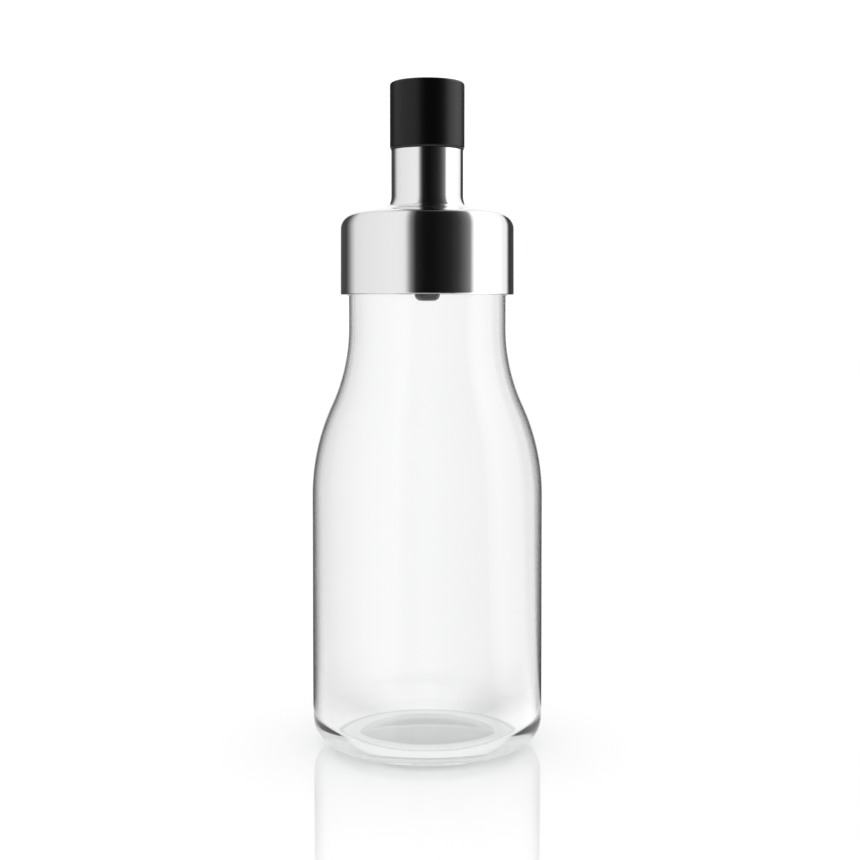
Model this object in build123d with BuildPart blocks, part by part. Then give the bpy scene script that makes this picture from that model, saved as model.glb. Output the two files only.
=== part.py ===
from build123d import *
from math import radians, sqrt, tan
import os

# A dressing shaker: a blown glass bottle, a push-fit lid with a drawn steel shell over a
# moulded pour insert, and a long stopper that lifts out of the spout.
# All sizes are in millimetres. The bottle stands on the origin and its axis is +Z.

# Glass bottle
body_radius = 32.5
neck_radius = 22.1
glass_wall = 1.5
bottle_height = 144.6
shoulder_low = 71.0
shoulder_high = 118.2
shoulder_bend_share = 0.54
heel_radius = 8.0
inner_heel_radius = 6.5
foot_width = 5.5
punt_rise = 1.4
base_thickness = 3.0
rim_edge_radius = 0.6

# Silicone seal between the bottle's neck and the lid
seat_gap = 0.05
seal_flange = 1.0
seal_sleeve = 1.4
seal_play = 0.02
fin_count = 3
fin_pitch = 3.6
fin_first = 3.4
fin_root = 1.3
fin_tip = 0.5
fin_lift = 0.6
fin_gap = 0.08

# Moulded pour insert
insert_flange = 1.4
flange_chamfer = 1.0
plug_depth = 17.15
plug_inset = 1.7
plug_wall = 1.2
plug_lead_in = 0.8
groove_depth = 0.8
bead_height = 2.0
floor_thickness = 1.5
nozzle_radius = 3.8
web_count = 6
web_thickness = 1.0

# Liner of the spout, clamped by its flange between the insert's webs and the inner cap
liner_gap = 0.12
liner_wall = 1.2
liner_setback = 0.3
liner_hole_gap = 0.15
liner_flange_width = 1.5
liner_flange_thickness = 1.2

# Inner cap that carries the steel shell
neck_clearance = 0.35
inner_cap_wall = 0.8
inner_cap_plate = 1.1
corner_ease = 0.7
flange_clearance = 0.25
hem_gap = 0.1
rib_count = 24
rib_height = 0.2
rib_width = 1.0

# Steel shell
sheet = 0.8
skin_gap = 0.1
shoulder_headroom = 0.5
skirt_height = 22.35
skirt_flare = 0.1
shoulder_slope = 7.5
shoulder_radius = 4.5
spout_radius = 10.12
spout_height = 16.1
spout_root_radius = 3.8
hem_width = 1.5
hem_radius = 0.9

# Ring that seals the liner against the steel spout
spout_ring_section = 0.6
spout_ring_drop = 4.2
ring_play = 0.02

# Stopper
cap_overhang = 0.31
cap_height = 18.1
cap_wall = 1.6
cap_top = 2.2
cap_edge_radius = 0.9
cap_foot_chamfer = 0.25
gasket_thickness = 0.5
gasket_inset = 0.25
core_gap = 0.12
core_wall = 1.4
core_floor = 2.0
core_headroom = 0.2
core_web_count = 4
core_web_thickness = 1.2
boss_wall = 1.4
plug_gap = 0.4
stopper_plug_length = 10.5
plug_chamfer = 1.0
plug_ring_section = 1.2
plug_ring_gap = 0.05
plug_ring_first = 3.4
plug_ring_pitch = 3.6
plug_ring_count = 2
groove_side_play = 0.1
stem_radius = 2.0
stem_fit = 0.02
stem_socket_depth = 7.5
stem_end_chamfer = 0.4
tip_reach = 2.45
tip_gap = 0.15
tip_lip = 1.5
tip_crown = 1.3
tip_edge_radius = 1.2
tip_socket_depth = 4.4

# Radii and heights that follow from the sizes above
neck_bore = neck_radius - glass_wall
body_bore = body_radius - glass_wall
seal_bottom = bottle_height + seat_gap
flange_bottom = seal_bottom + seal_flange
plate_bottom = flange_bottom + insert_flange
plate_top = plate_bottom + inner_cap_plate
plug_bottom = flange_bottom - plug_depth
floor_top = plug_bottom + floor_thickness

cap_bore = neck_radius + neck_clearance
cap_skin = cap_bore + inner_cap_wall
flange_radius = cap_bore - flange_clearance
skirt_radius = cap_skin + rib_height + skin_gap + sheet
skirt_foot_radius = skirt_radius + skirt_flare
slope = tan(radians(shoulder_slope))
shoulder_corner = plate_top + shoulder_headroom + sheet
skirt_bottom = shoulder_corner - skirt_height
spout_root = shoulder_corner + (skirt_radius - spout_radius) * slope
spout_rim = spout_root + spout_height

plug_radius = neck_bore - plug_inset
groove_radius = plug_radius - groove_depth
plug_bore = groove_radius - plug_wall
seal_bore = groove_radius + seal_play
seal_skin = seal_bore + seal_sleeve
seal_foot = plug_bottom + bead_height + seal_play
liner_radius = spout_radius - sheet - liner_gap
liner_bore = liner_radius - liner_wall
liner_top = spout_rim - liner_setback
funnel_top = floor_top + liner_bore - nozzle_radius
funnel_skin = nozzle_radius + liner_wall * sqrt(2)

gasket_bottom = spout_rim + seat_gap
cap_bottom = gasket_bottom + gasket_thickness
cap_radius = spout_radius + cap_overhang
cap_crown = cap_bottom + cap_height
core_radius = cap_radius - cap_wall - core_gap
core_bore = core_radius - core_wall
core_top = cap_crown - cap_top - core_headroom
plug_shank_radius = liner_bore - plug_gap
plug_shank_bottom = spout_rim - stopper_plug_length
stem_top = plug_shank_bottom + stem_socket_depth
tip_bottom = plug_bottom - tip_reach
tip_radius = nozzle_radius - tip_gap
tip_lip_radius = tip_radius + tip_lip
tip_top = floor_top + tip_lip + tip_crown
stem_bottom = tip_top - tip_socket_depth


def bend_point(low_radius, high_radius):
    """The point where the shoulder's two arcs meet, on the line between their far ends."""
    r = low_radius + (high_radius - low_radius) * shoulder_bend_share
    z = shoulder_low + (shoulder_high - shoulder_low) * shoulder_bend_share
    return (r, z)


# Bottle: heel and foot ring below, two tangent arcs for the shoulder, a straight neck
foot_outer = body_radius - heel_radius
foot_inner = foot_outer - foot_width
outer_bend = bend_point(body_radius, neck_radius)
inner_bend = bend_point(body_bore, neck_bore)
inner_floor_radius = body_bore - inner_heel_radius
inner_heel_top = base_thickness + inner_heel_radius

with BuildPart() as glass_bottle:
    with BuildSketch(Plane.XZ):
        with BuildLine():
            Line((0, base_thickness + punt_rise), (0, punt_rise))
            TangentArc((0, punt_rise), (foot_inner, 0), tangent=(1, 0))
            Line((foot_inner, 0), (foot_outer, 0))
            TangentArc((foot_outer, 0), (body_radius, heel_radius), tangent=(1, 0))
            Line((body_radius, heel_radius), (body_radius, shoulder_low))
            TangentArc((body_radius, shoulder_low), outer_bend, tangent=(0, 1))
            TangentArc((neck_radius, shoulder_high), outer_bend, tangent=(0, -1))
            Line((neck_radius, shoulder_high), (neck_radius, bottle_height))
            Line((neck_radius, bottle_height), (neck_bore, bottle_height))
            Line((neck_bore, bottle_height), (neck_bore, shoulder_high))
            TangentArc((neck_bore, shoulder_high), inner_bend, tangent=(0, -1))
            TangentArc((body_bore, shoulder_low), inner_bend, tangent=(0, 1))
            Line((body_bore, shoulder_low), (body_bore, inner_heel_top))
            TangentArc((body_bore, inner_heel_top), (inner_floor_radius, base_thickness),
                       tangent=(0, -1))
            TangentArc((0, base_thickness + punt_rise), (inner_floor_radius, base_thickness),
                       tangent=(1, 0))
        make_face()
    revolve(axis=Axis.Z)
    fillet(glass_bottle.edges().group_by(Axis.Z)[-1], radius=rim_edge_radius)
glass_bottle.part.label = "glass_bottle"

# Seal: a flange on the glass rim and a sleeve with swept-up fins inside the neck
fin_reach = neck_bore - fin_gap
with BuildPart() as neck_seal:
    with BuildSketch(Plane.XZ):
        with BuildLine():
            Polyline(
                (seal_bore, seal_foot),
                (seal_skin, seal_foot),
                (seal_skin, seal_bottom),
                (neck_radius, seal_bottom),
                (neck_radius, flange_bottom),
                (seal_bore, flange_bottom),
                close=True,
            )
        make_face()
    revolve(axis=Axis.Z)
    for i in range(fin_count):
        fin_z = seal_bottom - fin_first - i * fin_pitch
        with BuildSketch(Plane.XZ):
            with BuildLine():
                Polyline(
                    (seal_bore, fin_z - fin_root / 2),
                    (seal_skin, fin_z - fin_root / 2),
                    (fin_reach, fin_z + fin_lift - fin_tip / 2),
                    (fin_reach, fin_z + fin_lift + fin_tip / 2),
                    (seal_skin, fin_z + fin_root / 2),
                    (seal_bore, fin_z + fin_root / 2),
                    close=True,
                )
            make_face()
        revolve(axis=Axis.Z)
neck_seal.part.label = "neck_seal"

# Pour insert: flange, plug cup with a bead that holds the seal, floor with its nozzle, webs
web_top = plate_bottom - liner_flange_thickness
web_inner = liner_radius + liner_hole_gap
with BuildPart() as pour_insert:
    with BuildSketch(Plane.XZ):
        with BuildLine():
            Polyline(
                (nozzle_radius, plug_bottom),
                (plug_radius - plug_lead_in, plug_bottom),
                (plug_radius, plug_bottom + plug_lead_in),
                (plug_radius, plug_bottom + bead_height),
                (groove_radius, plug_bottom + bead_height),
                (groove_radius, flange_bottom),
                (flange_radius, flange_bottom),
                (flange_radius, plate_bottom - flange_chamfer),
                (flange_radius - flange_chamfer, plate_bottom),
                (plug_bore, plate_bottom),
                (plug_bore, floor_top),
                (nozzle_radius, floor_top),
                close=True,
            )
        make_face()
    revolve(axis=Axis.Z)
    with BuildSketch(Plane.XY.offset(plug_bottom + floor_thickness / 2)):
        with PolarLocations((web_inner + plug_bore + plug_wall / 2) / 2, web_count):
            Rectangle(plug_bore + plug_wall / 2 - web_inner, web_thickness)
    extrude(amount=web_top - plug_bottom - floor_thickness / 2)
pour_insert.part.label = "pour_insert"

# Liner: a tube with a funnel foot on the insert's floor and a flange on the insert's webs
ring_seat = liner_radius + liner_gap - spout_ring_section - ring_play
ring_groove = spout_ring_section + groove_side_play * 2
with BuildPart() as spout_liner:
    with BuildSketch(Plane.XZ):
        with BuildLine():
            Polyline(
                (nozzle_radius, floor_top),
                (funnel_skin, floor_top),
                (liner_radius, floor_top + liner_radius - funnel_skin),
                (liner_radius, web_top),
                (liner_radius + liner_flange_width, web_top),
                (liner_radius + liner_flange_width, plate_bottom),
                (liner_radius, plate_bottom),
                (liner_radius, liner_top),
                (liner_bore, liner_top),
                (liner_bore, funnel_top),
                close=True,
            )
        make_face()
    revolve(axis=Axis.Z)
    with BuildSketch(Plane.XY.offset(spout_rim - spout_ring_drop - ring_groove / 2)):
        Circle(spout_radius)
        Circle(ring_seat, mode=Mode.SUBTRACT)
    extrude(amount=ring_groove, mode=Mode.SUBTRACT)
spout_liner.part.label = "spout_liner"

# Inner cap: plate on the insert's flange and a ribbed skirt that the shell is pressed over
skirt_edge = skirt_bottom + sheet + hem_gap
inner_corner_radius = shoulder_radius - sheet - corner_ease
with BuildPart() as inner_cap:
    with BuildSketch(Plane.XZ):
        with BuildLine():
            Polyline(
                (liner_radius + liner_hole_gap, plate_bottom),
                (cap_bore, plate_bottom),
                (cap_bore, skirt_edge),
                (cap_skin, skirt_edge),
                (cap_skin, plate_top),
                (liner_radius + liner_hole_gap, plate_top),
                close=True,
            )
        make_face()
    revolve(axis=Axis.Z)
    fillet(
        inner_cap.edges().group_by(Axis.Z)[-1].sort_by(SortBy.RADIUS)[-1],
        radius=inner_corner_radius,
    )
    fillet(
        inner_cap.edges().filter_by_position(Axis.Z, plate_bottom, plate_bottom)
        .sort_by(SortBy.RADIUS)[-1],
        radius=flange_chamfer,
    )
    with BuildSketch(Plane.XY.offset(skirt_edge)):
        with PolarLocations(cap_skin - inner_cap_wall / 2 + rib_height / 2, rib_count):
            Rectangle(inner_cap_wall + rib_height, rib_width)
    extrude(amount=plate_top - inner_corner_radius - skirt_edge)
inner_cap.part.label = "inner_cap"

# Steel shell: one drawn sheet from the hem, over the shoulder, up the spout
with BuildPart() as steel_shell:
    with BuildSketch(Plane.XZ):
        with BuildLine():
            FilletPolyline(
                (skirt_foot_radius - hem_width, skirt_bottom),
                (skirt_foot_radius, skirt_bottom),
                (skirt_radius, shoulder_corner),
                (spout_radius, spout_root),
                (spout_radius, spout_rim),
                radius=(hem_radius, shoulder_radius, spout_root_radius),
            )
            offset(amount=sheet, side=Side.LEFT)
        make_face()
    revolve(axis=Axis.Z)
steel_shell.part.label = "steel_shell"

# Ring in the liner's groove, under the spout's rim
with BuildPart() as spout_ring:
    with BuildSketch(Plane.XZ):
        with Locations((liner_radius + liner_gap - ring_play - spout_ring_section / 2,
                        spout_rim - spout_ring_drop)):
            Circle(spout_ring_section / 2)
    revolve(axis=Axis.Z)
spout_ring.part.label = "spout_ring"

# Stopper cap: a plain hollow cylinder that stands a little proud of the spout
with BuildPart() as stopper_cap:
    with BuildSketch(Plane.XY.offset(cap_bottom)):
        Circle(cap_radius)
    extrude(amount=cap_height)
    fillet(stopper_cap.edges().group_by(Axis.Z)[-1], radius=cap_edge_radius)
    with BuildSketch(Plane.XY.offset(cap_bottom)):
        Circle(cap_radius - cap_wall)
    extrude(amount=cap_height - cap_top, mode=Mode.SUBTRACT)
    chamfer(
        stopper_cap.edges().group_by(Axis.Z)[0].sort_by(SortBy.RADIUS)[-1],
        length=cap_foot_chamfer,
    )
stopper_cap.part.label = "stopper_cap"

# Gasket between the cap's foot and the spout's rim
with BuildPart() as cap_gasket:
    with BuildSketch(Plane.XY.offset(gasket_bottom)):
        Circle(cap_radius - gasket_inset)
        Circle(plug_shank_radius + seal_play, mode=Mode.SUBTRACT)
    extrude(amount=gasket_thickness)
cap_gasket.part.label = "cap_gasket"

# Stopper core: a webbed post in the cap, a plug in the spout and a socket for the stem
plug_ring_seat = liner_bore - plug_ring_gap - plug_ring_section - ring_play
plug_ring_groove = plug_ring_section + groove_side_play * 2
plug_ring_heights = [spout_rim - plug_ring_first - i * plug_ring_pitch
                     for i in range(plug_ring_count)]
boss_radius = stem_radius + stem_fit + boss_wall
with BuildPart() as stopper_core:
    with BuildSketch(Plane.XZ):
        with BuildLine():
            Polyline(
                (0, plug_shank_bottom),
                (plug_shank_radius - plug_chamfer, plug_shank_bottom),
                (plug_shank_radius, plug_shank_bottom + plug_chamfer),
                (plug_shank_radius, cap_bottom),
                (core_radius, cap_bottom),
                (core_radius, core_top),
                (core_bore, core_top),
                (core_bore, cap_bottom + core_floor),
                (boss_radius, cap_bottom + core_floor),
                (boss_radius, core_top),
                (0, core_top),
                close=True,
            )
        make_face()
    revolve(axis=Axis.Z)
    with BuildSketch(Plane.XY.offset(cap_bottom + core_floor / 2)):
        with PolarLocations((boss_radius + core_bore) / 2, core_web_count):
            Rectangle(core_bore - boss_radius + core_wall, core_web_thickness)
    extrude(amount=core_top - cap_bottom - core_floor / 2)
    for ring_z in plug_ring_heights:
        with BuildSketch(Plane.XY.offset(ring_z - plug_ring_groove / 2)):
            Circle(liner_bore)
            Circle(plug_ring_seat, mode=Mode.SUBTRACT)
        extrude(amount=plug_ring_groove, mode=Mode.SUBTRACT)
    with BuildSketch(Plane.XY.offset(plug_shank_bottom)):
        Circle(stem_radius + stem_fit)
    extrude(amount=stem_socket_depth, mode=Mode.SUBTRACT)
stopper_core.part.label = "stopper_core"

# Rings round the plug
with BuildPart() as plug_rings:
    for ring_z in plug_ring_heights:
        with BuildSketch(Plane.XZ):
            with Locations((liner_bore - plug_ring_gap - plug_ring_section / 2, ring_z)):
                Circle(plug_ring_section / 2)
        revolve(axis=Axis.Z)
plug_rings.part.label = "plug_rings"

# Stem from the core down to the tip
with BuildPart() as stem:
    with BuildSketch(Plane.XY.offset(stem_bottom)):
        Circle(stem_radius)
    extrude(amount=stem_top - stem_bottom)
    chamfer(stem.edges(), length=stem_end_chamfer)
stem.part.label = "stem"

# Tip: its cone closes the funnel and its nose comes out under the lid
with BuildPart() as stem_tip:
    with BuildSketch(Plane.XZ):
        with BuildLine():
            Polyline(
                (0, tip_bottom),
                (tip_radius, tip_bottom),
                (tip_radius, floor_top),
                (tip_lip_radius, floor_top + tip_lip),
                (stem_radius + boss_wall, tip_top),
                (stem_radius + stem_fit, tip_top),
                (stem_radius + stem_fit, stem_bottom),
                (0, stem_bottom),
                close=True,
            )
        make_face()
    revolve(axis=Axis.Z)
    fillet(stem_tip.edges().group_by(Axis.Z)[0], radius=tip_edge_radius)
stem_tip.part.label = "stem_tip"

os.makedirs("parts", exist_ok=True)
export_step(glass_bottle.part, "parts/glass_bottle.step")
export_step(neck_seal.part, "parts/neck_seal.step")
export_step(pour_insert.part, "parts/pour_insert.step")
export_step(spout_liner.part, "parts/spout_liner.step")
export_step(inner_cap.part, "parts/inner_cap.step")
export_step(steel_shell.part, "parts/steel_shell.step")
export_step(spout_ring.part, "parts/spout_ring.step")
export_step(stopper_cap.part, "parts/stopper_cap.step")
export_step(cap_gasket.part, "parts/cap_gasket.step")
export_step(stopper_core.part, "parts/stopper_core.step")
export_step(plug_rings.part, "parts/plug_rings.step")
export_step(stem.part, "parts/stem.step")
export_step(stem_tip.part, "parts/stem_tip.step")
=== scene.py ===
import bpy
import math
import bmesh
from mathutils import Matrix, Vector


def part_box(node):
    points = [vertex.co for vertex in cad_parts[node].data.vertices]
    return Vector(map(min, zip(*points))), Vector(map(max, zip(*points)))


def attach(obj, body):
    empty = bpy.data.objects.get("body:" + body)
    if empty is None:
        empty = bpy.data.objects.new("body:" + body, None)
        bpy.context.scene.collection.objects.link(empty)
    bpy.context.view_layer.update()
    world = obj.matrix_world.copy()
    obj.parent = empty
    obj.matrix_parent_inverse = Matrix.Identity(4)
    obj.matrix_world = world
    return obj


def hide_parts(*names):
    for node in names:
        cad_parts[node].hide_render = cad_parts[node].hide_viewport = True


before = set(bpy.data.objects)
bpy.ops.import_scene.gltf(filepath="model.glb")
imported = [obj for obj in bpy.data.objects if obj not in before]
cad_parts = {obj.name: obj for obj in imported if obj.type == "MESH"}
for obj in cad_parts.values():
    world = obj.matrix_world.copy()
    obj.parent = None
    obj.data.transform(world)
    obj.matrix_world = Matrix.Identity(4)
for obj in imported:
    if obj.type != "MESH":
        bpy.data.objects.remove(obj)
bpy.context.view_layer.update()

bl_info = {
    "name": "Dressing shaker",
    "version": (1, 0, 0),
    "blender": (4, 5, 0),
    "location": "View3D > Sidebar > Shaker",
    "description": "Dresses the packed dressing shaker with its glass, steel and black plastic",
    "category": "Object",
}


# Segments of a full circle, by how large the piece shows.
LARGE_SEGMENTS = 192
CAP_SEGMENTS = 160
TIP_SEGMENTS = 96
CREASE = math.radians(35)       # edges that turn more than this stay sharp
TURNING_WELD = 1e-6             # joins the seam and the points on the axis
FINAL_WELD = 1e-7               # joins what is left before the shape is tested

# Steps of the arcs in the outlines.
SHOULDER_STEPS, HEEL_STEPS, INNER_HEEL_STEPS, RIM_STEPS, BASE_STEPS = 40, 24, 20, 8, 16
SHELL_STEPS, SHELL_INNER_STEPS, CAP_STEPS, NOSE_STEPS = 16, 12, 10, 14
SHEET_EDGE = 0.3                # rounding of the sheet's edges, as a share of its thickness
HEM_INSIDE = 0.2                # rounding inside the hem, as a share of the outer one
CAP_INSIDE = 0.0004             # rounding inside the cap, under its top

# Glass: painted edge shade, darkening the base colour over Layer Weight's Facing, on the outside of
# the upright wall only; it stands in for the dark refraction seen at the outline.
GLASS_PAINTED_EDGE_SHADE = (
    (0.0, 1.0), (0.58, 0.96), (0.66, 0.80), (0.74, 0.28), (0.82, 0.08), (0.92, 0.08), (1.0, 0.3),
)
EDGE_LEVEL, EDGE_UPRIGHT = 0.85, 0.55   # upward share of the normal where the shade is nil and full
EDGE_LOW, EDGE_HIGH = 0.003, 0.014      # heights where the shade is nil and full
OUTSIDE_REACH = 0.001                   # smallest outward reach that counts as the outside
GLASS_SHADOW = (0.85, 0.856, 0.856)     # light that one wall lets through to the floor
TRAPPED_DEPTH = 4.5                     # a ray bent this often in the glass goes straight on
GLASS_WAVE = 38.0                       # scale of the unevenness in the wall
GLASS_WAVE_DEPTH = 0.00008

# Floor: the sheen is full out to the first distance from the axis and gone at the second.
SHEEN_NEAR, SHEEN_FAR, SHEEN_WEIGHT = 0.085, 0.17, 0.95
FLOOR_HALF_WIDTH = 6.0

# Two rooms stand in for the studio, one that reflections see and one that shows through the glass.
# Each has a flat ring just over the floor, given by its radii and height, and a dome on top, given
# by its radius and height.
REFLECTED_ROOM = ((0.055, 0.5), 0.0004, 4.0, 4.0)
GLASS_ROOM = ((0.0264, 0.07), 0.0002, 0.12, 0.6)
DOME_TOP = 89.9                 # degrees of rise where the dome ends, just short of a point
DOME_STEPS, DOME_SECTORS = 36, 96

# Brightness round the rooms, by degrees to the right of the camera.
REFLECTED_WALLS = (
    (-180, 0.10), (-132, 0.06), (-124, 0.22), (-116, 0.58), (-108, 0.88), (-90, 0.95), (-40, 1.02),
    (-29, 0.98), (-22, 0.26), (-15, 0.02), (-4, 0.006), (8, 0.006), (20, 0.012), (30, 0.020),
    (41, 0.05), (50, 0.14), (58, 0.28), (62, 1.1), (74, 2.1), (104, 2.1), (114, 1.15), (127, 1.05),
    (134, 0.04), (180, 0.10),
)
REFLECTED_CEILING = (
    (-180, 0.50), (-130, 0.40), (-80, 0.22), (-30, 0.12), (-14, 0.16), (0, 0.45), (50, 0.60),
    (70, 1.2), (140, 1.2), (180, 0.6),
)
SEEN_THROUGH_GLASS = (
    (-180, 1.02), (-168, 0.98), (-156, 0.88), (-146, 0.80), (-122, 0.92), (122, 0.92),
    (146, 0.74), (156, 0.83), (168, 0.96), (180, 1.02),
)
LID_HEIGHT = 0.14               # height of the ball whose mirror image the walls are drawn for
ROOM_REACH = 9.0                # more than any distance in the room
CEILING_TILTS = (49, 62)        # degrees of the mirror's tilt where walls turn into ceiling
SWEEP_LEVEL = 1.05              # pale sweep behind the object
SWEEP_ACROSS = (0.36, 0.28)     # sideways share of the direction where the sweep starts and is full
SWEEP_BEHIND = (0.45, 0.60)     # and the same for the backward share

LAMP_SIZE, LAMP_POWER, LAMP_PLACE = 1.2, 1.5, (0.1, -0.1, 1.3)
SENSOR_WIDTH = 36.0             # millimetres


def node_radius(name):
    """Outer radius of a round node, from its box."""
    low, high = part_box(name)
    return (high.x - low.x) / 2


def node_low(name):
    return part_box(name)[0].z


def node_high(name):
    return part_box(name)[1].z


class BottleSizes(bpy.types.PropertyGroup):
    body_radius: bpy.props.FloatProperty(
        name="Body radius", description="Outer radius of the straight body",
        default=node_radius("glass_bottle"), subtype="DISTANCE", unit="LENGTH")
    neck_radius: bpy.props.FloatProperty(
        name="Neck radius", description="Outer radius of the neck",
        default=node_radius("neck_seal"), subtype="DISTANCE", unit="LENGTH")
    wall: bpy.props.FloatProperty(
        name="Wall", description="Thickness of the glass",
        default=0.0015, subtype="DISTANCE", unit="LENGTH")
    height: bpy.props.FloatProperty(
        name="Height", description="Height of the glass rim over the table",
        default=node_high("glass_bottle"), subtype="DISTANCE", unit="LENGTH")
    shoulder_low: bpy.props.FloatProperty(
        name="Shoulder start", description="Height where the body starts to draw in",
        default=0.0710, subtype="DISTANCE", unit="LENGTH")
    shoulder_high: bpy.props.FloatProperty(
        name="Shoulder end", description="Height where the neck runs straight",
        default=0.1182, subtype="DISTANCE", unit="LENGTH")
    shoulder_share: bpy.props.FloatProperty(
        name="Shoulder turn", description="Share of the shoulder below the point where it turns",
        default=0.54, min=0.2, max=0.8, subtype="FACTOR")
    heel_radius: bpy.props.FloatProperty(
        name="Heel", description="Rounding where the body meets the foot",
        default=0.0080, subtype="DISTANCE", unit="LENGTH")
    inner_heel_radius: bpy.props.FloatProperty(
        name="Inner heel", description="Rounding inside, where the wall meets the floor",
        default=0.0065, subtype="DISTANCE", unit="LENGTH")
    foot_width: bpy.props.FloatProperty(
        name="Foot ring", description="Width of the ring that the bottle stands on",
        default=0.0055, subtype="DISTANCE", unit="LENGTH")
    punt_rise: bpy.props.FloatProperty(
        name="Punt", description="Rise of the base at its centre",
        default=0.0014, subtype="DISTANCE", unit="LENGTH")
    base_thickness: bpy.props.FloatProperty(
        name="Base", description="Thickness of the glass under the dressing",
        default=0.0030, subtype="DISTANCE", unit="LENGTH")
    rim_radius: bpy.props.FloatProperty(
        name="Rim", description="Rounding of the fire-polished rim",
        default=0.0006, subtype="DISTANCE", unit="LENGTH")


class LidSizes(bpy.types.PropertyGroup):
    sheet: bpy.props.FloatProperty(
        name="Sheet", description="Thickness of the drawn steel",
        default=0.0008, subtype="DISTANCE", unit="LENGTH")
    foot_radius: bpy.props.FloatProperty(
        name="Skirt foot radius", description="Outer radius of the skirt at its hem",
        default=node_radius("steel_shell"), subtype="DISTANCE", unit="LENGTH")
    flare: bpy.props.FloatProperty(
        name="Flare", description="How much wider the skirt is at its hem than at its shoulder",
        default=0.0001, subtype="DISTANCE", unit="LENGTH")
    foot: bpy.props.FloatProperty(
        name="Hem height", description="Height of the hem over the table",
        default=node_low("steel_shell"), subtype="DISTANCE", unit="LENGTH")
    skirt_height: bpy.props.FloatProperty(
        name="Skirt height", description="From the hem to the shoulder's corner",
        default=0.02235, subtype="DISTANCE", unit="LENGTH")
    shoulder_slope: bpy.props.FloatProperty(
        name="Shoulder slope", description="Slope of the shoulder up to the spout",
        default=math.radians(7.5), subtype="ANGLE", unit="ROTATION")
    shoulder_radius: bpy.props.FloatProperty(
        name="Shoulder rounding", description="Rounding of the shoulder's edge",
        default=0.0045, subtype="DISTANCE", unit="LENGTH")
    spout_radius: bpy.props.FloatProperty(
        name="Spout radius", description="Outer radius of the spout",
        default=0.01012, subtype="DISTANCE", unit="LENGTH")
    spout_root_radius: bpy.props.FloatProperty(
        name="Spout root", description="Hollow rounding where the spout leaves the shoulder",
        default=0.0038, subtype="DISTANCE", unit="LENGTH")
    rim: bpy.props.FloatProperty(
        name="Rim height", description="Height of the spout's rim over the table",
        default=node_high("steel_shell"), subtype="DISTANCE", unit="LENGTH")
    hem_width: bpy.props.FloatProperty(
        name="Hem", description="How far the hem turns in under the skirt",
        default=0.0015, subtype="DISTANCE", unit="LENGTH")
    hem_radius: bpy.props.FloatProperty(
        name="Hem rounding", description="Outer rounding of the hem",
        default=0.0004, subtype="DISTANCE", unit="LENGTH")


class StopperSizes(bpy.types.PropertyGroup):
    radius: bpy.props.FloatProperty(
        name="Cap radius", description="Outer radius of the black cap",
        default=node_radius("stopper_cap"), subtype="DISTANCE", unit="LENGTH")
    wall: bpy.props.FloatProperty(
        name="Cap wall", description="Thickness of the cap's side",
        default=0.0016, subtype="DISTANCE", unit="LENGTH")
    top: bpy.props.FloatProperty(
        name="Cap top", description="Thickness of the cap's top",
        default=0.0022, subtype="DISTANCE", unit="LENGTH")
    edge_radius: bpy.props.FloatProperty(
        name="Cap edge", description="Rounding of the cap's upper edge",
        default=0.0009, subtype="DISTANCE", unit="LENGTH")
    foot_radius: bpy.props.FloatProperty(
        name="Cap foot", description="Rounding of the cap's lower edge",
        default=0.00025, subtype="DISTANCE", unit="LENGTH")
    nose_reach: bpy.props.FloatProperty(
        name="Nose reach", description="How far the round nose stands out under the plain one",
        default=0.0008, subtype="DISTANCE", unit="LENGTH")
    nose_rounding: bpy.props.FloatProperty(
        name="Nose rounding", description="Rounding of the nose's lower edge",
        default=0.0019, subtype="DISTANCE", unit="LENGTH")
    nose_height: bpy.props.FloatProperty(
        name="Nose height", description="Height of the sealing cone over the plain nose",
        default=0.00395, subtype="DISTANCE", unit="LENGTH")
    lip_width: bpy.props.FloatProperty(
        name="Cone width", description="Width of the sealing cone",
        default=0.0015, subtype="DISTANCE", unit="LENGTH")
    stem_bore: bpy.props.FloatProperty(
        name="Stem socket radius", description="Radius of the hole that takes the stem",
        default=0.00202, subtype="DISTANCE", unit="LENGTH")
    boss_wall: bpy.props.FloatProperty(
        name="Boss wall", description="Thickness of the plastic round the stem",
        default=0.00138, subtype="DISTANCE", unit="LENGTH")
    stem_socket: bpy.props.FloatProperty(
        name="Stem socket depth", description="Depth of the hole that takes the stem",
        default=0.0044, subtype="DISTANCE", unit="LENGTH")


class FinishLook(bpy.types.PropertyGroup):
    glass_tint: bpy.props.FloatVectorProperty(
        name="Glass", description="Tint of the clear glass", size=3, subtype="COLOR",
        default=(0.984, 0.986, 0.986), min=0, max=1)
    steel: bpy.props.FloatVectorProperty(
        name="Steel", description="Colour of the stainless steel", size=3, subtype="COLOR",
        default=(0.80, 0.80, 0.805), min=0, max=1)
    cap_black: bpy.props.FloatVectorProperty(
        name="Cap", description="Colour of the satin cap", size=3, subtype="COLOR",
        default=(0.0015, 0.0015, 0.0017), min=0, max=1)
    insert_black: bpy.props.FloatVectorProperty(
        name="Insert", description="Colour of the moulded pieces in the lid",
        size=3, subtype="COLOR",
        default=(0.014, 0.014, 0.015), min=0, max=1)
    silicone: bpy.props.FloatVectorProperty(
        name="Silicone", description="Colour of the seals", size=3, subtype="COLOR",
        default=(0.022, 0.022, 0.024), min=0, max=1)


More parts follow.
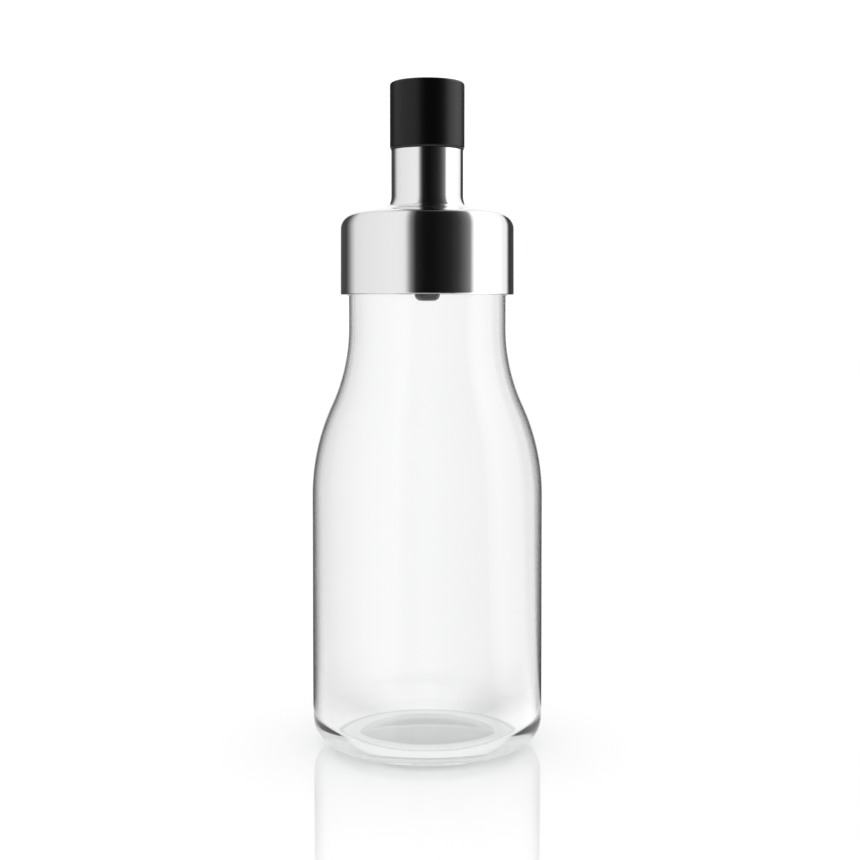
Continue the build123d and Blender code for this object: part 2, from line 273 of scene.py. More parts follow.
class StageLook(bpy.types.PropertyGroup):
    eye_height: bpy.props.FloatProperty(
        name="Eye height", description="Height of the camera over the table",
        default=0.118, subtype="DISTANCE", unit="LENGTH")
    eye_distance: bpy.props.FloatProperty(
        name="Eye distance", description="Distance of the camera from the bottle's axis",
        default=0.430, subtype="DISTANCE", unit="LENGTH")
    pitch: bpy.props.FloatProperty(
        name="Pitch", description="How far the camera looks down",
        default=math.radians(3.83), subtype="ANGLE", unit="ROTATION")
    turn: bpy.props.FloatProperty(
        name="Turn", description="How far the camera looks past the bottle, to the right",
        default=math.radians(0.103), subtype="ANGLE", unit="ROTATION")
    lens: bpy.props.FloatProperty(
        name="Lens", description="Focal length in millimetres", default=63.84)
    sky: bpy.props.FloatProperty(
        name="Sky", description="Brightness of the white room", default=1.18, min=0)
    floor_white: bpy.props.FloatProperty(
        name="Floor", description="Whiteness of the floor", default=0.86, min=0, max=1)


def arc(centre, radius, start, end, steps):
    """Points of an arc in the profile plane, its end angles in degrees."""
    points = []
    for i in range(steps + 1):
        a = math.radians(start + (end - start) * i / steps)
        points.append((centre[0] + radius * math.cos(a), centre[1] + radius * math.sin(a)))
    return points


def upright_arc(foot, end, steps):
    """Points of the arc that leaves foot straight up or down and ends at end."""
    dr, dz = end[0] - foot[0], end[1] - foot[1]
    radius = (dr * dr + dz * dz) / (2 * abs(dr))
    side = math.copysign(1.0, dr)
    rise = math.copysign(1.0, dz)
    sweep = math.acos(1 - abs(dr) / radius)
    return [(foot[0] + side * radius * (1 - math.cos(sweep * i / steps)),
             foot[1] + rise * radius * math.sin(sweep * i / steps)) for i in range(steps + 1)]


def dome(top, edge, steps):
    """Points of the flat arc that leaves the axis level at top and falls to edge."""
    span, fall = edge[0] - top[0], top[1] - edge[1]
    radius = (span * span + fall * fall) / (2 * fall)
    reach = math.asin(span / radius)
    return [(radius * math.sin(reach * i / steps),
             top[1] - radius * (1 - math.cos(reach * i / steps))) for i in range(steps + 1)]


def rounded_path(corners, steps):
    """Points of a path whose corners, given as (r, z, rounding), are turned by arcs."""
    points = [corners[0][:2]]
    for before, corner, after in zip(corners, corners[1:], corners[2:]):
        here = Vector(corner[:2])
        rounding = corner[2]
        if rounding <= 0:
            points.append(tuple(here))
            continue
        back = (Vector(before[:2]) - here).normalized()
        on = (Vector(after[:2]) - here).normalized()
        half = back.angle(on) / 2
        reach = rounding / math.tan(half)
        centre = here + (back + on).normalized() * rounding / math.sin(half)
        first = here + back * reach - centre
        last = here + on * reach - centre
        turn = first.angle_signed(last)
        for i in range(steps + 1):
            a = -turn * i / steps
            c, s = math.cos(a), math.sin(a)
            points.append((centre.x + first.x * c - first.y * s,
                           centre.y + first.x * s + first.y * c))
    points.append(corners[-1][:2])
    return points


def feed(links, value, socket):
    """Links value to the socket when it is a socket itself, and else sets it there."""
    if isinstance(value, bpy.types.NodeSocket):
        links.new(value, socket)
    else:
        socket.default_value = value


def math_node(nodes, links, operation, *values):
    """A Math node whose inputs are sockets or plain numbers."""
    node = nodes.new("ShaderNodeMath")
    node.operation = operation
    for socket, value in zip(node.inputs, values):
        feed(links, value, socket)
    return node.outputs[0]


def vector_node(nodes, links, operation, *values):
    """A Vector Math node whose inputs are sockets or plain vectors."""
    node = nodes.new("ShaderNodeVectorMath")
    node.operation = operation
    for socket, value in zip(node.inputs, values):
        feed(links, value, socket)
    return node.outputs["Value" if operation in ("LENGTH", "DOT_PRODUCT") else "Vector"]


def axes(nodes, links, vector):
    """The X, Y and Z of a vector."""
    node = nodes.new("ShaderNodeSeparateXYZ")
    links.new(vector, node.inputs[0])
    return node.outputs


def smooth_step(nodes, links, value, start, end, top=1.0):
    """Rises smoothly from 0 at start to top at end."""
    node = nodes.new("ShaderNodeMapRange")
    node.interpolation_type = "SMOOTHSTEP"
    set_inputs(node, {"From Min": start, "From Max": end, "To Max": top})
    links.new(value, node.inputs["Value"])
    return node.outputs[0]


def set_inputs(node, values):
    """Sets sockets of a node by their names."""
    for name, value in values.items():
        node.inputs[name].default_value = value


def noise_node(nodes, links, where, scale, detail):
    """A noise over place; its scale is a socket or a plain number."""
    node = nodes.new("ShaderNodeTexNoise")
    node.inputs["Detail"].default_value = detail
    links.new(where, node.inputs["Vector"])
    feed(links, scale, node.inputs["Scale"])
    return node.outputs[0]


def ramp_node(nodes, links, value, stops):
    """A colour ramp through stops, as (place from 0 to 1, colour)."""
    ramp = nodes.new("ShaderNodeValToRGB")
    elements = ramp.color_ramp.elements
    while len(elements) < len(stops):
        elements.new(0.5)
    for element, (place, colour) in zip(elements, stops):
        element.position = place
        element.color = (*colour, 1.0)
    links.new(value, ramp.inputs[0])
    return ramp.outputs[0]


def mix_colours(nodes, links, share, first, second):
    """A colour between first and second, which are sockets or plain colours."""
    node = nodes.new("ShaderNodeMix")
    node.data_type = "RGBA"
    share_socket, first_socket, second_socket = (node.inputs[place] for place in (0, 6, 7))
    links.new(share, share_socket)
    feed(links, first, first_socket)
    feed(links, second, second_socket)
    return node.outputs[2]


def lathe_tree():
    """A node tree that turns a profile in the XZ plane round the Z axis."""
    tree = bpy.data.node_groups.get("turned_on_axis")
    if tree:
        return tree
    tree = bpy.data.node_groups.new("turned_on_axis", "GeometryNodeTree")
    face = tree.interface
    face.new_socket("Profile", in_out="INPUT", socket_type="NodeSocketGeometry")
    steps = face.new_socket("Segments", in_out="INPUT", socket_type="NodeSocketInt")
    steps.default_value = CAP_SEGMENTS
    steps.min_value = 12
    crease = face.new_socket("Crease", in_out="INPUT", socket_type="NodeSocketFloat")
    crease.subtype = "ANGLE"
    crease.default_value = CREASE
    face.new_socket("Finish", in_out="INPUT", socket_type="NodeSocketMaterial")
    face.new_socket("Turned", in_out="OUTPUT", socket_type="NodeSocketGeometry")
    nodes, links = tree.nodes, tree.links

    def add(kind, **settings):
        node = nodes.new(kind)
        for key, value in settings.items():
            setattr(node, key, value)
        return node

    def maths(operation, *values):
        return math_node(nodes, links, operation, *values)

    source = add("NodeGroupInput")
    count = add("GeometryNodeAttributeDomainSize", component="MESH")
    links.new(source.outputs["Profile"], count.inputs[0])
    around = maths("ADD", source.outputs["Segments"], 1.0)
    grid = add("GeometryNodeMeshGrid")
    links.new(count.outputs["Point Count"], grid.inputs["Vertices X"])
    links.new(around, grid.inputs["Vertices Y"])
    index = add("GeometryNodeInputIndex").outputs[0]
    row = maths("FLOOR", maths("DIVIDE", maths("ADD", index, 0.5), around))
    column = maths("SUBTRACT", index, maths("MULTIPLY", row, around))
    angle = maths("MULTIPLY", maths("DIVIDE", column, source.outputs["Segments"]), 2 * math.pi)
    sample = add("GeometryNodeSampleIndex", data_type="FLOAT_VECTOR", domain="POINT")
    links.new(source.outputs["Profile"], sample.inputs["Geometry"])
    links.new(add("GeometryNodeInputPosition").outputs[0], sample.inputs["Value"])
    links.new(row, sample.inputs["Index"])
    radius, _, height = axes(nodes, links, sample.outputs[0])
    joined = add("ShaderNodeCombineXYZ")
    links.new(maths("MULTIPLY", radius, maths("COSINE", angle)), joined.inputs[0])
    links.new(maths("MULTIPLY", radius, maths("SINE", angle)), joined.inputs[1])
    links.new(height, joined.inputs[2])
    turned = add("GeometryNodeSetPosition")
    links.new(grid.outputs["Mesh"], turned.inputs["Geometry"])
    links.new(joined.outputs[0], turned.inputs["Position"])
    closed = add("GeometryNodeMergeByDistance")
    closed.inputs["Distance"].default_value = TURNING_WELD
    links.new(turned.outputs[0], closed.inputs[0])
    smooth = add("GeometryNodeSetShadeSmooth", domain="FACE")
    links.new(closed.outputs[0], smooth.inputs["Geometry"])
    edge = add("GeometryNodeInputMeshEdgeAngle")
    sharp = add("FunctionNodeCompare", data_type="FLOAT", operation="GREATER_THAN")
    links.new(edge.outputs["Unsigned Angle"], sharp.inputs[0])
    links.new(source.outputs["Crease"], sharp.inputs[1])
    creased = add("GeometryNodeSetShadeSmooth", domain="EDGE")
    creased.inputs["Shade Smooth"].default_value = False
    links.new(smooth.outputs[0], creased.inputs["Geometry"])
    links.new(sharp.outputs[0], creased.inputs["Selection"])
    real = add("GeometryNodeRealizeInstances")
    links.new(creased.outputs[0], real.inputs[0])
    finish = add("GeometryNodeSetMaterial")
    links.new(real.outputs[0], finish.inputs["Geometry"])
    links.new(source.outputs["Finish"], finish.inputs["Material"])
    target = add("NodeGroupOutput")
    links.new(finish.outputs[0], target.inputs[0])
    return tree


def turn_profile(name, points, material, body, replaced, segments):
    """Makes the round piece whose outline is points, as (r, z), and gives it to its body."""
    outline = bpy.data.meshes.new(name + "_outline")
    outline.from_pydata([(r, 0.0, z) for r, z in points],
                        [(i, i + 1) for i in range(len(points) - 1)], [])
    piece = bpy.data.objects.new(name, outline)
    bpy.context.scene.collection.objects.link(piece)
    tree = lathe_tree()
    lathe = piece.modifiers.new("Lathe", "NODES")
    lathe.node_group = tree
    named = {item.name: item.identifier for item in tree.interface.items_tree}
    lathe[named["Segments"]] = segments
    lathe[named["Crease"]] = CREASE
    lathe[named["Finish"]] = material
    graph = bpy.context.evaluated_depsgraph_get()
    mesh = bpy.data.meshes.new_from_object(piece.evaluated_get(graph))
    piece.modifiers.clear()
    piece.data = mesh
    mesh.name = name
    shape = bmesh.new()
    shape.from_mesh(mesh)
    bmesh.ops.remove_doubles(shape, verts=shape.verts, dist=FINAL_WELD)
    if shape.calc_volume(signed=True) < 0:
        bmesh.ops.reverse_faces(shape, faces=shape.faces)
    if shape.calc_volume(signed=True) <= 0 or any(not edge.is_manifold for edge in shape.edges):
        raise RuntimeError(name + " isn't a closed shape")
    shape.to_mesh(mesh)
    shape.free()
    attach(piece, body)
    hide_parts(replaced)
    return piece


def blank_material(name):
    """A material without nodes, and ways to add and link them."""
    material = bpy.data.materials.new(name)
    material.use_nodes = True
    material.node_tree.nodes.clear()
    return material, material.node_tree.nodes, material.node_tree.links


def new_material(name, values):
    """A material with one shader, whose sockets are set by name, joined to its output."""
    material, nodes, links = blank_material(name)
    shader = nodes.new("ShaderNodeBsdfPrincipled")
    set_inputs(shader, values)
    links.new(shader.outputs[0], nodes.new("ShaderNodeOutputMaterial").inputs["Surface"])
    return material, nodes, links, shader


def new_group(name, values):
    """A shader group with the given plain inputs, and Roughness and Height as its outputs."""
    tree = bpy.data.node_groups.new(name, "ShaderNodeTree")
    for label, value in values.items():
        socket = tree.interface.new_socket(label, in_out="INPUT", socket_type="NodeSocketFloat")
        socket.default_value = value
    for label in ("Roughness", "Height"):
        tree.interface.new_socket(label, in_out="OUTPUT", socket_type="NodeSocketFloat")
    nodes = tree.nodes
    return tree, nodes, tree.links, nodes.new("NodeGroupInput"), nodes.new("NodeGroupOutput")


def put_out(nodes, links, source, target, uneven, height):
    """Ends a group: a roughness that follows uneven, which lies round 0, and a height."""
    roughness = math_node(nodes, links, "MULTIPLY_ADD", uneven,
                          source.outputs["Roughness spread"], source.outputs["Base roughness"])
    links.new(roughness, target.inputs["Roughness"])
    links.new(height, target.inputs["Height"])


def grain_group():
    """Fine even grain of a moulded skin, with patches where it was handled."""
    tree = bpy.data.node_groups.get("moulded_grain")
    if tree:
        return tree
    tree, nodes, links, source, target = new_group(
        "moulded_grain", {"Grain size": 0.0002, "Base roughness": 0.45, "Roughness spread": 0.08})
    where = nodes.new("ShaderNodeTexCoord").outputs["Object"]
    fineness = math_node(nodes, links, "DIVIDE", 1.0, source.outputs["Grain size"])
    pores = noise_node(nodes, links, where, fineness, 3.0)
    handling = noise_node(nodes, links, where, 180.0, 4.0)
    uneven = math_node(nodes, links, "SUBTRACT", handling, 0.5)
    put_out(nodes, links, source, target, uneven, pores)
    return tree


def polish_group():
    """Fine rings left by polishing on a spindle, with faint smudges."""
    tree = bpy.data.node_groups.get("spindle_polish")
    if tree:
        return tree
    tree, nodes, links, source, target = new_group(
        "spindle_polish", {"Ring pitch": 0.00015, "Base roughness": 0.09, "Roughness spread": 0.05})
    where = nodes.new("ShaderNodeTexCoord").outputs["Object"]
    flat = vector_node(nodes, links, "MULTIPLY", where, (1.0, 1.0, 0.0))
    reach = vector_node(nodes, links, "LENGTH", flat)
    along = math_node(nodes, links, "SUBTRACT", axes(nodes, links, where)[2], reach)
    rings = nodes.new("ShaderNodeTexNoise")
    rings.noise_dimensions = "1D"
    set_inputs(rings, {"Scale": 1.0, "Detail": 2.0})
    links.new(math_node(nodes, links, "DIVIDE", along, source.outputs["Ring pitch"]),
              rings.inputs["W"])
    smudge = noise_node(nodes, links, where, 60.0, 5.0)
    both = math_node(nodes, links, "ADD", rings.outputs[0], smudge)
    uneven = math_node(nodes, links, "SUBTRACT", both, 1.0)
    put_out(nodes, links, source, target, uneven, rings.outputs[0])
    return tree


def place_group(nodes, tree, values):
    """Puts a shader group in a material with its own values."""
    node = nodes.new("ShaderNodeGroup")
    node.node_tree = tree
    set_inputs(node, values)
    return node


def bump(nodes, links, height, shader, depth, strength):
    """Lets a height bend the shader's normal, depth being its full size in metres."""
    node = nodes.new("ShaderNodeBump")
    set_inputs(node, {"Strength": strength, "Distance": depth})
    links.new(height, node.inputs["Height"])
    links.new(node.outputs[0], shader.inputs["Normal"])


def plastic_material(name, colour, roughness, spread, grain, depth, coat=0.0):
    """Moulded plastic or silicone: its grain has a size and a depth, and coat makes it glossy."""
    material, nodes, links, shader = new_material(name, {
        "Base Color": (*colour, 1.0), "IOR": 1.5, "Specular IOR Level": 0.28,
        "Coat Weight": coat, "Coat Roughness": 0.05})
    skin = place_group(nodes, grain_group(), {
        "Grain size": grain, "Base roughness": roughness, "Roughness spread": spread})
    links.new(skin.outputs["Roughness"], shader.inputs["Roughness"])
    bump(nodes, links, skin.outputs["Height"], shader, depth, 0.5)
    return material


def steel_material(name, colour):
    """Bright stainless steel, polished on a spindle."""
    material, nodes, links, shader = new_material(name, {
        "Base Color": (*colour, 1.0), "Metallic": 1.0})
    polish = place_group(nodes, polish_group(), {
        "Ring pitch": 0.00012, "Base roughness": 0.10, "Roughness spread": 0.05})
    links.new(polish.outputs["Roughness"], shader.inputs["Roughness"])
    bump(nodes, links, polish.outputs["Height"], shader, 0.000002, 0.3)
    return material


def glass_material(name, tint):
    """Clear blown glass, with painted shade darkening its outer edges, faintly uneven, and it lets
    light through.
    """
    material, nodes, links, shader = new_material(name, {
        "Roughness": 0.0, "IOR": 1.5, "Transmission Weight": 1.0})
    # Painted shade: the base colour darkens as the outer wall turns edge-on, standing in for the
    # dark refraction at the glass's outline.
    facing = nodes.new("ShaderNodeLayerWeight").outputs["Facing"]
    edge = ramp_node(nodes, links, facing, [
        (place, [channel * shade for channel in tint]) for place, shade in GLASS_PAINTED_EDGE_SHADE])
    where = nodes.new("ShaderNodeTexCoord").outputs["Object"]
    normal = nodes.new("ShaderNodeNewGeometry").outputs["Normal"]
    steepness = math_node(nodes, links, "ABSOLUTE", axes(nodes, links, normal)[2])
    upright = smooth_step(nodes, links, steepness, EDGE_LEVEL, EDGE_UPRIGHT)
    over_heel = smooth_step(nodes, links, axes(nodes, links, where)[2], EDGE_LOW, EDGE_HIGH)
    from_axis = vector_node(nodes, links, "MULTIPLY", where, (1.0, 1.0, 0.0))
    outward = vector_node(nodes, links, "DOT_PRODUCT", from_axis, normal)
    outside = smooth_step(nodes, links, outward, 0.0, OUTSIDE_REACH)
    share = math_node(nodes, links, "MULTIPLY",
                      math_node(nodes, links, "MULTIPLY", upright, over_heel), outside)
    links.new(mix_colours(nodes, links, share, (*tint, 1.0), edge), shader.inputs["Base Color"])
    stretch = nodes.new("ShaderNodeMapping")
    stretch.inputs["Scale"].default_value = (1.0, 1.0, 0.35)
    links.new(where, stretch.inputs["Vector"])
    wave = noise_node(nodes, links, stretch.outputs[0], GLASS_WAVE, 1.0)
    bump(nodes, links, wave, shader, GLASS_WAVE_DEPTH, 0.5)
    path = nodes.new("ShaderNodeLightPath").outputs
    passing = math_node(nodes, links, "MAXIMUM", path["Is Shadow Ray"], path["Is Diffuse Ray"])
    trapped = math_node(nodes, links, "GREATER_THAN", path["Ray Depth"], TRAPPED_DEPTH)
    clear = nodes.new("ShaderNodeBsdfTransparent")
    clear.inputs["Color"].default_value = (*GLASS_SHADOW, 1.0)
    mix = nodes.new("ShaderNodeMixShader")
    links.new(math_node(nodes, links, "MAXIMUM", passing, trapped), mix.inputs[0])
    links.new(shader.outputs[0], mix.inputs[1])
    links.new(clear.outputs[0], mix.inputs[2])
    links.new(mix.outputs[0], nodes["Material Output"].inputs["Surface"])
    return material


def floor_material(white):
    """Pale floor: chalky far out, with a wet-looking sheen where the bottle stands."""
    material, nodes, links, shader = new_material("floor_white", {
        "Base Color": (white, white, white, 1.0), "Roughness": 1.0, "Specular IOR Level": 0.0,
        "Coat Roughness": 0.03, "Coat IOR": 1.75})
    where = nodes.new("ShaderNodeTexCoord").outputs["Object"]
    reach = vector_node(nodes, links, "LENGTH", where)
    links.new(smooth_step(nodes, links, reach, SHEEN_FAR, SHEEN_NEAR, SHEEN_WEIGHT),
              shader.inputs["Coat Weight"])
    return material


def glowing_material(name):
    """A new material that only glows, and is clear from behind; returns its Emission node too."""
    material, nodes, links = blank_material(name)
    glow = nodes.new("ShaderNodeEmission")
    mix = nodes.new("ShaderNodeMixShader")
    links.new(nodes.new("ShaderNodeNewGeometry").outputs["Backfacing"], mix.inputs[0])
    links.new(glow.outputs[0], mix.inputs[1])
    links.new(nodes.new("ShaderNodeBsdfTransparent").outputs[0], mix.inputs[2])
    links.new(mix.outputs[0], nodes.new("ShaderNodeOutputMaterial").inputs["Surface"])
    return material, nodes, links, glow


def share_of_turn(nodes, links, x, y, whole):
    """Angle to the right of the camera's side, as a share of whole, with 0.5 at the camera."""
    angle = math_node(nodes, links, "ARCTAN2", x, math_node(nodes, links, "MULTIPLY", y, -1.0))
    return math_node(nodes, links, "ADD", math_node(nodes, links, "DIVIDE", angle, whole), 0.5)


def turn_ramp(nodes, links, turn, stops, bright):
    """Grey level over a full turn; stops are (degrees, level), and bright is the highest level."""
    return ramp_node(nodes, links, turn, [
        (angle / 360 + 0.5, [level / bright] * 3) for angle, level in stops])


def reflected_room_material():
    """The studio as a polished ball on the axis shows it: dark where the camera stands, pale walls,
    a bright softbox on the right, a pale sweep behind and a ceiling that is dark on the left."""
    material, nodes, links, glow = glowing_material("room_in_reflections")
    where = nodes.new("ShaderNodeTexCoord").outputs["Object"]
    seen = vector_node(nodes, links, "SUBTRACT", where, (0.0, 0.0, LID_HEIGHT))
    seen = vector_node(nodes, links, "MAXIMUM", seen, (-ROOM_REACH, -ROOM_REACH, 0.0))
    seen = vector_node(nodes, links, "NORMALIZE", seen)
    mirror = vector_node(nodes, links, "SUBTRACT", seen, (0.0, 1.0, 0.0))
    x, y, z = axes(nodes, links, mirror)
    turn = share_of_turn(nodes, links, x, y, math.pi)
    tilt = math_node(nodes, links, "DIVIDE", z, vector_node(nodes, links, "LENGTH", mirror))
    bright = max(level for angle, level in REFLECTED_WALLS + REFLECTED_CEILING)
    walls = turn_ramp(nodes, links, turn, REFLECTED_WALLS, bright)
    ceiling = turn_ramp(nodes, links, turn, REFLECTED_CEILING, bright)
    overhead = smooth_step(nodes, links, tilt,
                           *(math.sin(math.radians(angle)) for angle in CEILING_TILTS))
    room = mix_colours(nodes, links, overhead, walls, ceiling)
    sideways, backward, _ = axes(nodes, links, seen)
    across = smooth_step(nodes, links, math_node(nodes, links, "ABSOLUTE", sideways), *SWEEP_ACROSS)
    behind = smooth_step(nodes, links, backward, *SWEEP_BEHIND)
    in_sweep = math_node(nodes, links, "MULTIPLY", across, behind)
    sweep = (*[SWEEP_LEVEL / bright] * 3, 1.0)
    links.new(mix_colours(nodes, links, in_sweep, room, sweep), glow.inputs["Color"])
    glow.inputs["Strength"].default_value = bright
    return material


def glass_room_material():
    """What is seen through the glass: a pale wall, lighter straight behind the bottle."""
    material, nodes, links, glow = glowing_material("room_through_glass")
    x, y, _ = axes(nodes, links, nodes.new("ShaderNodeTexCoord").outputs["Object"])
    turn = share_of_turn(nodes, links, x, y, 2 * math.pi)
    bright = max(level for angle, level in SEEN_THROUGH_GLASS)
    links.new(turn_ramp(nodes, links, turn, SEEN_THROUGH_GLASS, bright), glow.inputs["Color"])
    glow.inputs["Strength"].default_value = bright
    return material


def room_surface(material, ring, level, radius, height, kind):
    """A dome over a flat ring, met only by rays of the given kind. It faces the bottle, and rays
    leave through its back."""
    rises = [math.radians(DOME_TOP * i / DOME_STEPS) for i in range(DOME_STEPS + 1)]
    rows = [(reach, level) for reach in ring]
    rows += [(radius * math.cos(rise), level + height * math.sin(rise)) for rise in rises]
    verts, faces = [], []
    for reach, up in rows:
        for k in range(DOME_SECTORS):
            a = 2 * math.pi * k / DOME_SECTORS
            verts.append((reach * math.cos(a), reach * math.sin(a), up))
    for i in range(len(rows) - 1):
        low, high = i * DOME_SECTORS, (i + 1) * DOME_SECTORS
        for k in range(DOME_SECTORS):
            m = (k + 1) % DOME_SECTORS
            faces.append((low + k, high + k, high + m, low + m))
    mesh = bpy.data.meshes.new(material.name)
    mesh.from_pydata(verts, [], faces)
    mesh.materials.append(material)
    surface = bpy.data.objects.new(material.name, mesh)
    bpy.context.scene.collection.objects.link(surface)
    surface.visible_camera = False
    surface.visible_diffuse = False
    surface.visible_shadow = False
    surface.visible_glossy = kind == "glossy"
    surface.visible_transmission = kind == "transmission"


def make_world(sky):
    """An even white sky."""
    world = bpy.data.worlds.new("white_room")
    world.use_nodes = True
    background = world.node_tree.nodes["Background"]
    set_inputs(background, {"Color": (1.0, 1.0, 1.0, 1.0), "Strength": sky})
    bpy.context.scene.world = world


def make_floor(white):
    """The floor that the bottle stands on."""
    half = FLOOR_HALF_WIDTH
    mesh = bpy.data.meshes.new("floor")
    mesh.from_pydata([(-half, -half, 0), (half, -half, 0), (half, half, 0), (-half, half, 0)],
                     [], [(0, 1, 2, 3)])
    mesh.materials.append(floor_material(white))
    floor = bpy.data.objects.new("floor", mesh)
    bpy.context.scene.collection.objects.link(floor)


def make_lamp():
    """A soft lamp overhead, which reflections and the glass don't show."""
    light = bpy.data.lights.new("overhead_softbox", "AREA")
    light.shape = "RECTANGLE"
    light.size, light.size_y = LAMP_SIZE, LAMP_SIZE
    light.energy = LAMP_POWER
    lamp = bpy.data.objects.new("overhead_softbox", light)
    lamp.location = LAMP_PLACE
    lamp.visible_glossy = False
    lamp.visible_transmission = False
    bpy.context.scene.collection.objects.link(lamp)


def make_camera(look):
    """The camera that took the photograph."""
    eye = bpy.data.cameras.new("photo_camera")
    eye.sensor_width = SENSOR_WIDTH
    eye.lens = look.lens
    camera = bpy.data.objects.new("photo_camera", eye)
    camera.location = (0.0, -look.eye_distance, look.eye_height)
    camera.rotation_euler = (math.pi / 2 - look.pitch, 0.0, -look.turn)
    bpy.context.scene.collection.objects.link(camera)
    bpy.context.scene.camera = camera


def bottle_profile(sizes):
    """Outline of the bottle from the axis under the base, up the outside, and down the inside."""
    body, neck, wall = sizes.body_radius, sizes.neck_radius, sizes.wall
    inner_body, inner_neck = body - wall, neck - wall
    low, high, share = sizes.shoulder_low, sizes.shoulder_high, sizes.shoulder_share
    turn_height = low + (high - low) * share
    outer_turn = (body + (neck - body) * share, turn_height)
    inner_turn = (inner_body + (inner_neck - inner_body) * share, turn_height)
    heel, inner_heel, rim = sizes.heel_radius, sizes.inner_heel_radius, sizes.rim_radius
    foot_outer = body - heel
    foot_inner = foot_outer - sizes.foot_width
    floor = sizes.base_thickness
    floor_edge = inner_body - inner_heel
    points = dome((0.0, sizes.punt_rise), (foot_inner, 0.0), BASE_STEPS)
    points += arc((foot_outer, heel), heel, -90, 0, HEEL_STEPS)
    points += upright_arc((body, low), outer_turn, SHOULDER_STEPS)
    points += upright_arc((neck, high), outer_turn, SHOULDER_STEPS)[::-1][1:]
    points += arc((neck - rim, sizes.height - rim), rim, 0, 90, RIM_STEPS)
    points += arc((inner_neck + rim, sizes.height - rim), rim, 90, 180, RIM_STEPS)
    points += upright_arc((inner_neck, high), inner_turn, SHOULDER_STEPS)
    points += upright_arc((inner_body, low), inner_turn, SHOULDER_STEPS)[::-1][1:]
    points += arc((floor_edge, floor + inner_heel), inner_heel, 0, -90, INNER_HEEL_STEPS)
    points += dome((0.0, floor + sizes.punt_rise), (floor_edge, floor), BASE_STEPS)[::-1][1:]
    return points


def shell_profile(sizes):
    """Outline of the drawn sheet, up its outside and down its inside."""
    foot, top = sizes.foot_radius, sizes.foot_radius - sizes.flare
    sheet, edge = sizes.sheet, sizes.sheet * SHEET_EDGE
    slope = math.tan(sizes.shoulder_slope)
    corner = sizes.foot + sizes.skirt_height
    root = corner + (top - sizes.spout_radius) * slope
    inner_top, inner_spout = top - sheet, sizes.spout_radius - sheet
    inner_corner = corner - sheet / math.cos(sizes.shoulder_slope) + sheet * slope
    inner_root = inner_corner + (inner_top - inner_spout) * slope
    hem = foot - sizes.hem_width
    outer = rounded_path([
        (hem, sizes.foot + sheet / 2, 0),
        (hem, sizes.foot, edge),
        (foot, sizes.foot, sizes.hem_radius),
        (top, corner, sizes.shoulder_radius),
        (sizes.spout_radius, root, sizes.spout_root_radius),
        (sizes.spout_radius, sizes.rim, edge),
        (sizes.spout_radius - sheet / 2, sizes.rim, 0),
    ], SHELL_STEPS)
    inner = rounded_path([
        (sizes.spout_radius - sheet / 2, sizes.rim, 0),
        (inner_spout, sizes.rim, edge),
        (inner_spout, inner_root, sizes.spout_root_radius + sheet),
        (inner_top, inner_corner, sizes.shoulder_radius - sheet),
        (foot - sheet, sizes.foot + sheet, sizes.hem_radius * HEM_INSIDE),
        (hem, sizes.foot + sheet, edge),
        (hem, sizes.foot + sheet / 2, 0),
    ], SHELL_INNER_STEPS)
    return outer + inner[1:]


def cap_profile(sizes):
    """Outline of the hollow cap, from its top down the outside and up the inside."""
    low, high = node_low("stopper_cap"), node_high("stopper_cap")
    bore = sizes.radius - sizes.wall
    return rounded_path([
        (0.0, high, 0),
        (sizes.radius, high, sizes.edge_radius),
        (sizes.radius, low, sizes.foot_radius),
        (bore, low, sizes.foot_radius),
        (bore, high - sizes.top, CAP_INSIDE),
        (0.0, high - sizes.top, 0),
    ], CAP_STEPS)


def tip_profile(sizes):
    """The valve at the stem's end: round nose, neck in the nozzle, sealing cone, stem socket."""
    low, high = node_low("stem_tip") - sizes.nose_reach, node_high("stem_tip")
    seat = node_low("stem_tip") + sizes.nose_height
    lip = node_radius("stem_tip")
    nose, rounding = lip - sizes.lip_width, sizes.nose_rounding
    points = [(0.0, low)]
    points += arc((nose - rounding, low + rounding), rounding, -90, 0, NOSE_STEPS)
    points += [(nose, seat), (lip, seat + sizes.lip_width)]
    points += [(sizes.stem_bore + sizes.boss_wall, high), (sizes.stem_bore, high)]
    points += [(sizes.stem_bore, high - sizes.stem_socket), (0.0, high - sizes.stem_socket)]
    return points


def finish_node(name, material):
    """Gives a CAD node its material and leaves its mesh as it is."""
    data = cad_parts[name].data
    data.materials.clear()
    data.materials.append(material)


class SHAKER_OT_stage(bpy.types.Operator):
    """Makes the floor, the sky, the two rooms, the lamp and the camera"""
    bl_idname = "shaker.stage"
    bl_label = "Stage"

    def execute(self, context):
        look = context.scene.shaker_stage
        context.scene.view_settings.view_transform = "Standard"
        make_world(look.sky)
        make_floor(look.floor_white)
        room_surface(reflected_room_material(), *REFLECTED_ROOM, "glossy")
        room_surface(glass_room_material(), *GLASS_ROOM, "transmission")
        make_lamp()
        make_camera(look)
        return {"FINISHED"}


class SHAKER_OT_bottle(bpy.types.Operator):
    """Makes the glass bottle"""
    bl_idname = "shaker.bottle"
    bl_label = "Glass bottle"

    def execute(self, context):
        sizes, look = context.scene.shaker_bottle, context.scene.shaker_finish
        glass = glass_material("clear_glass", look.glass_tint)
        turn_profile("bottle_glass", bottle_profile(sizes), glass, "bottle",
                     "glass_bottle", LARGE_SEGMENTS)
        return {"FINISHED"}


class SHAKER_OT_lid_shell(bpy.types.Operator):
    """Makes the drawn steel shell of the lid, and gives the stem the same steel"""
    bl_idname = "shaker.lid_shell"
    bl_label = "Steel shell"

    def execute(self, context):
        sizes, look = context.scene.shaker_lid, context.scene.shaker_finish
        steel = steel_material("stainless_steel", look.steel)
        turn_profile("lid_shell", shell_profile(sizes), steel, "lid",
                     "steel_shell", LARGE_SEGMENTS)
        finish_node("stem", steel)
        return {"FINISHED"}


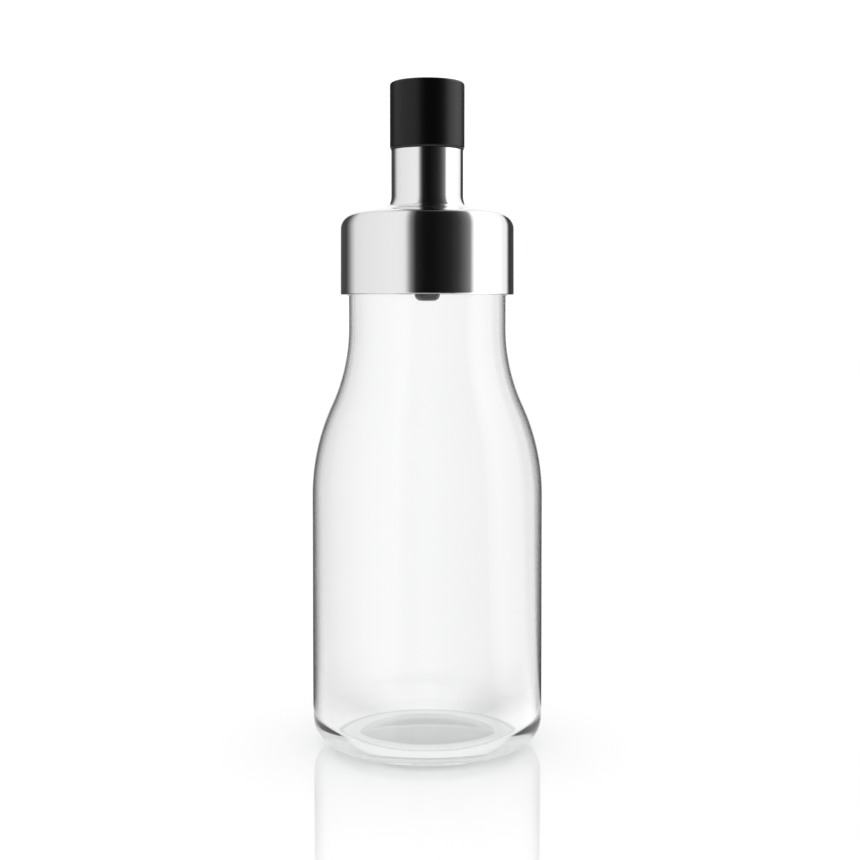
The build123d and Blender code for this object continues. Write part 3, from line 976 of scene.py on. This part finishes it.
class SHAKER_OT_stopper(bpy.types.Operator):
    """Makes the black cap and the valve at the stem's end"""
    bl_idname = "shaker.stopper"
    bl_label = "Stopper"

    def execute(self, context):
        sizes, look = context.scene.shaker_stopper, context.scene.shaker_finish
        satin = plastic_material("cap_plastic", look.cap_black, roughness=0.30, spread=0.05,
                                 grain=0.00018, depth=0.000006)
        turn_profile("black_cap", cap_profile(sizes), satin, "stopper",
                     "stopper_cap", CAP_SEGMENTS)
        gloss = plastic_material("tip_plastic", look.insert_black, roughness=0.14, spread=0.04,
                                 grain=0.0006, depth=0.000004, coat=0.4)
        turn_profile("stem_end", tip_profile(sizes), gloss, "stopper",
                     "stem_tip", TIP_SEGMENTS)
        return {"FINISHED"}


class SHAKER_OT_inner_pieces(bpy.types.Operator):
    """Finishes the moulded and silicone pieces inside the lid and the stopper"""
    bl_idname = "shaker.inner_pieces"
    bl_label = "Inner pieces"

    def execute(self, context):
        look = context.scene.shaker_finish
        moulded = plastic_material("insert_plastic", look.insert_black, roughness=0.38,
                                   spread=0.10, grain=0.00025, depth=0.00001)
        silicone = plastic_material("seal_silicone", look.silicone, roughness=0.58,
                                    spread=0.10, grain=0.0004, depth=0.00001)
        for name in ("pour_insert", "spout_liner", "inner_cap", "stopper_core"):
            finish_node(name, moulded)
        for name in ("neck_seal", "spout_ring", "cap_gasket", "plug_rings"):
            finish_node(name, silicone)
        return {"FINISHED"}


class SHAKER_PT_sidebar(bpy.types.Panel):
    bl_label = "Dressing shaker"
    bl_idname = "SHAKER_PT_sidebar"
    bl_space_type = "VIEW_3D"
    bl_region_type = "UI"
    bl_category = "Shaker"

    def draw(self, context):
        for owner in GROUPS:
            group = getattr(context.scene, owner)
            box = self.layout.box()
            for name in group.__annotations__:
                box.prop(group, name)
        for operator in OPERATORS:
            self.layout.operator(operator.bl_idname)


GROUPS = {
    "shaker_bottle": BottleSizes,
    "shaker_lid": LidSizes,
    "shaker_stopper": StopperSizes,
    "shaker_finish": FinishLook,
    "shaker_stage": StageLook,
}
OPERATORS = (
    SHAKER_OT_stage,
    SHAKER_OT_bottle,
    SHAKER_OT_lid_shell,
    SHAKER_OT_stopper,
    SHAKER_OT_inner_pieces,
)


def register():
    for name, group in GROUPS.items():
        bpy.utils.register_class(group)
        setattr(bpy.types.Scene, name, bpy.props.PointerProperty(type=group))
    for operator in OPERATORS:
        bpy.utils.register_class(operator)
    bpy.utils.register_class(SHAKER_PT_sidebar)


def unregister():
    bpy.utils.unregister_class(SHAKER_PT_sidebar)
    for operator in reversed(OPERATORS):
        bpy.utils.unregister_class(operator)
    for name, group in reversed(GROUPS.items()):
        delattr(bpy.types.Scene, name)
        bpy.utils.unregister_class(group)


def main():
    register()
    bpy.ops.shaker.stage()
    bpy.ops.shaker.bottle()
    bpy.ops.shaker.lid_shell()
    bpy.ops.shaker.stopper()
    bpy.ops.shaker.inner_pieces()


if __name__ == "__main__":
    main()
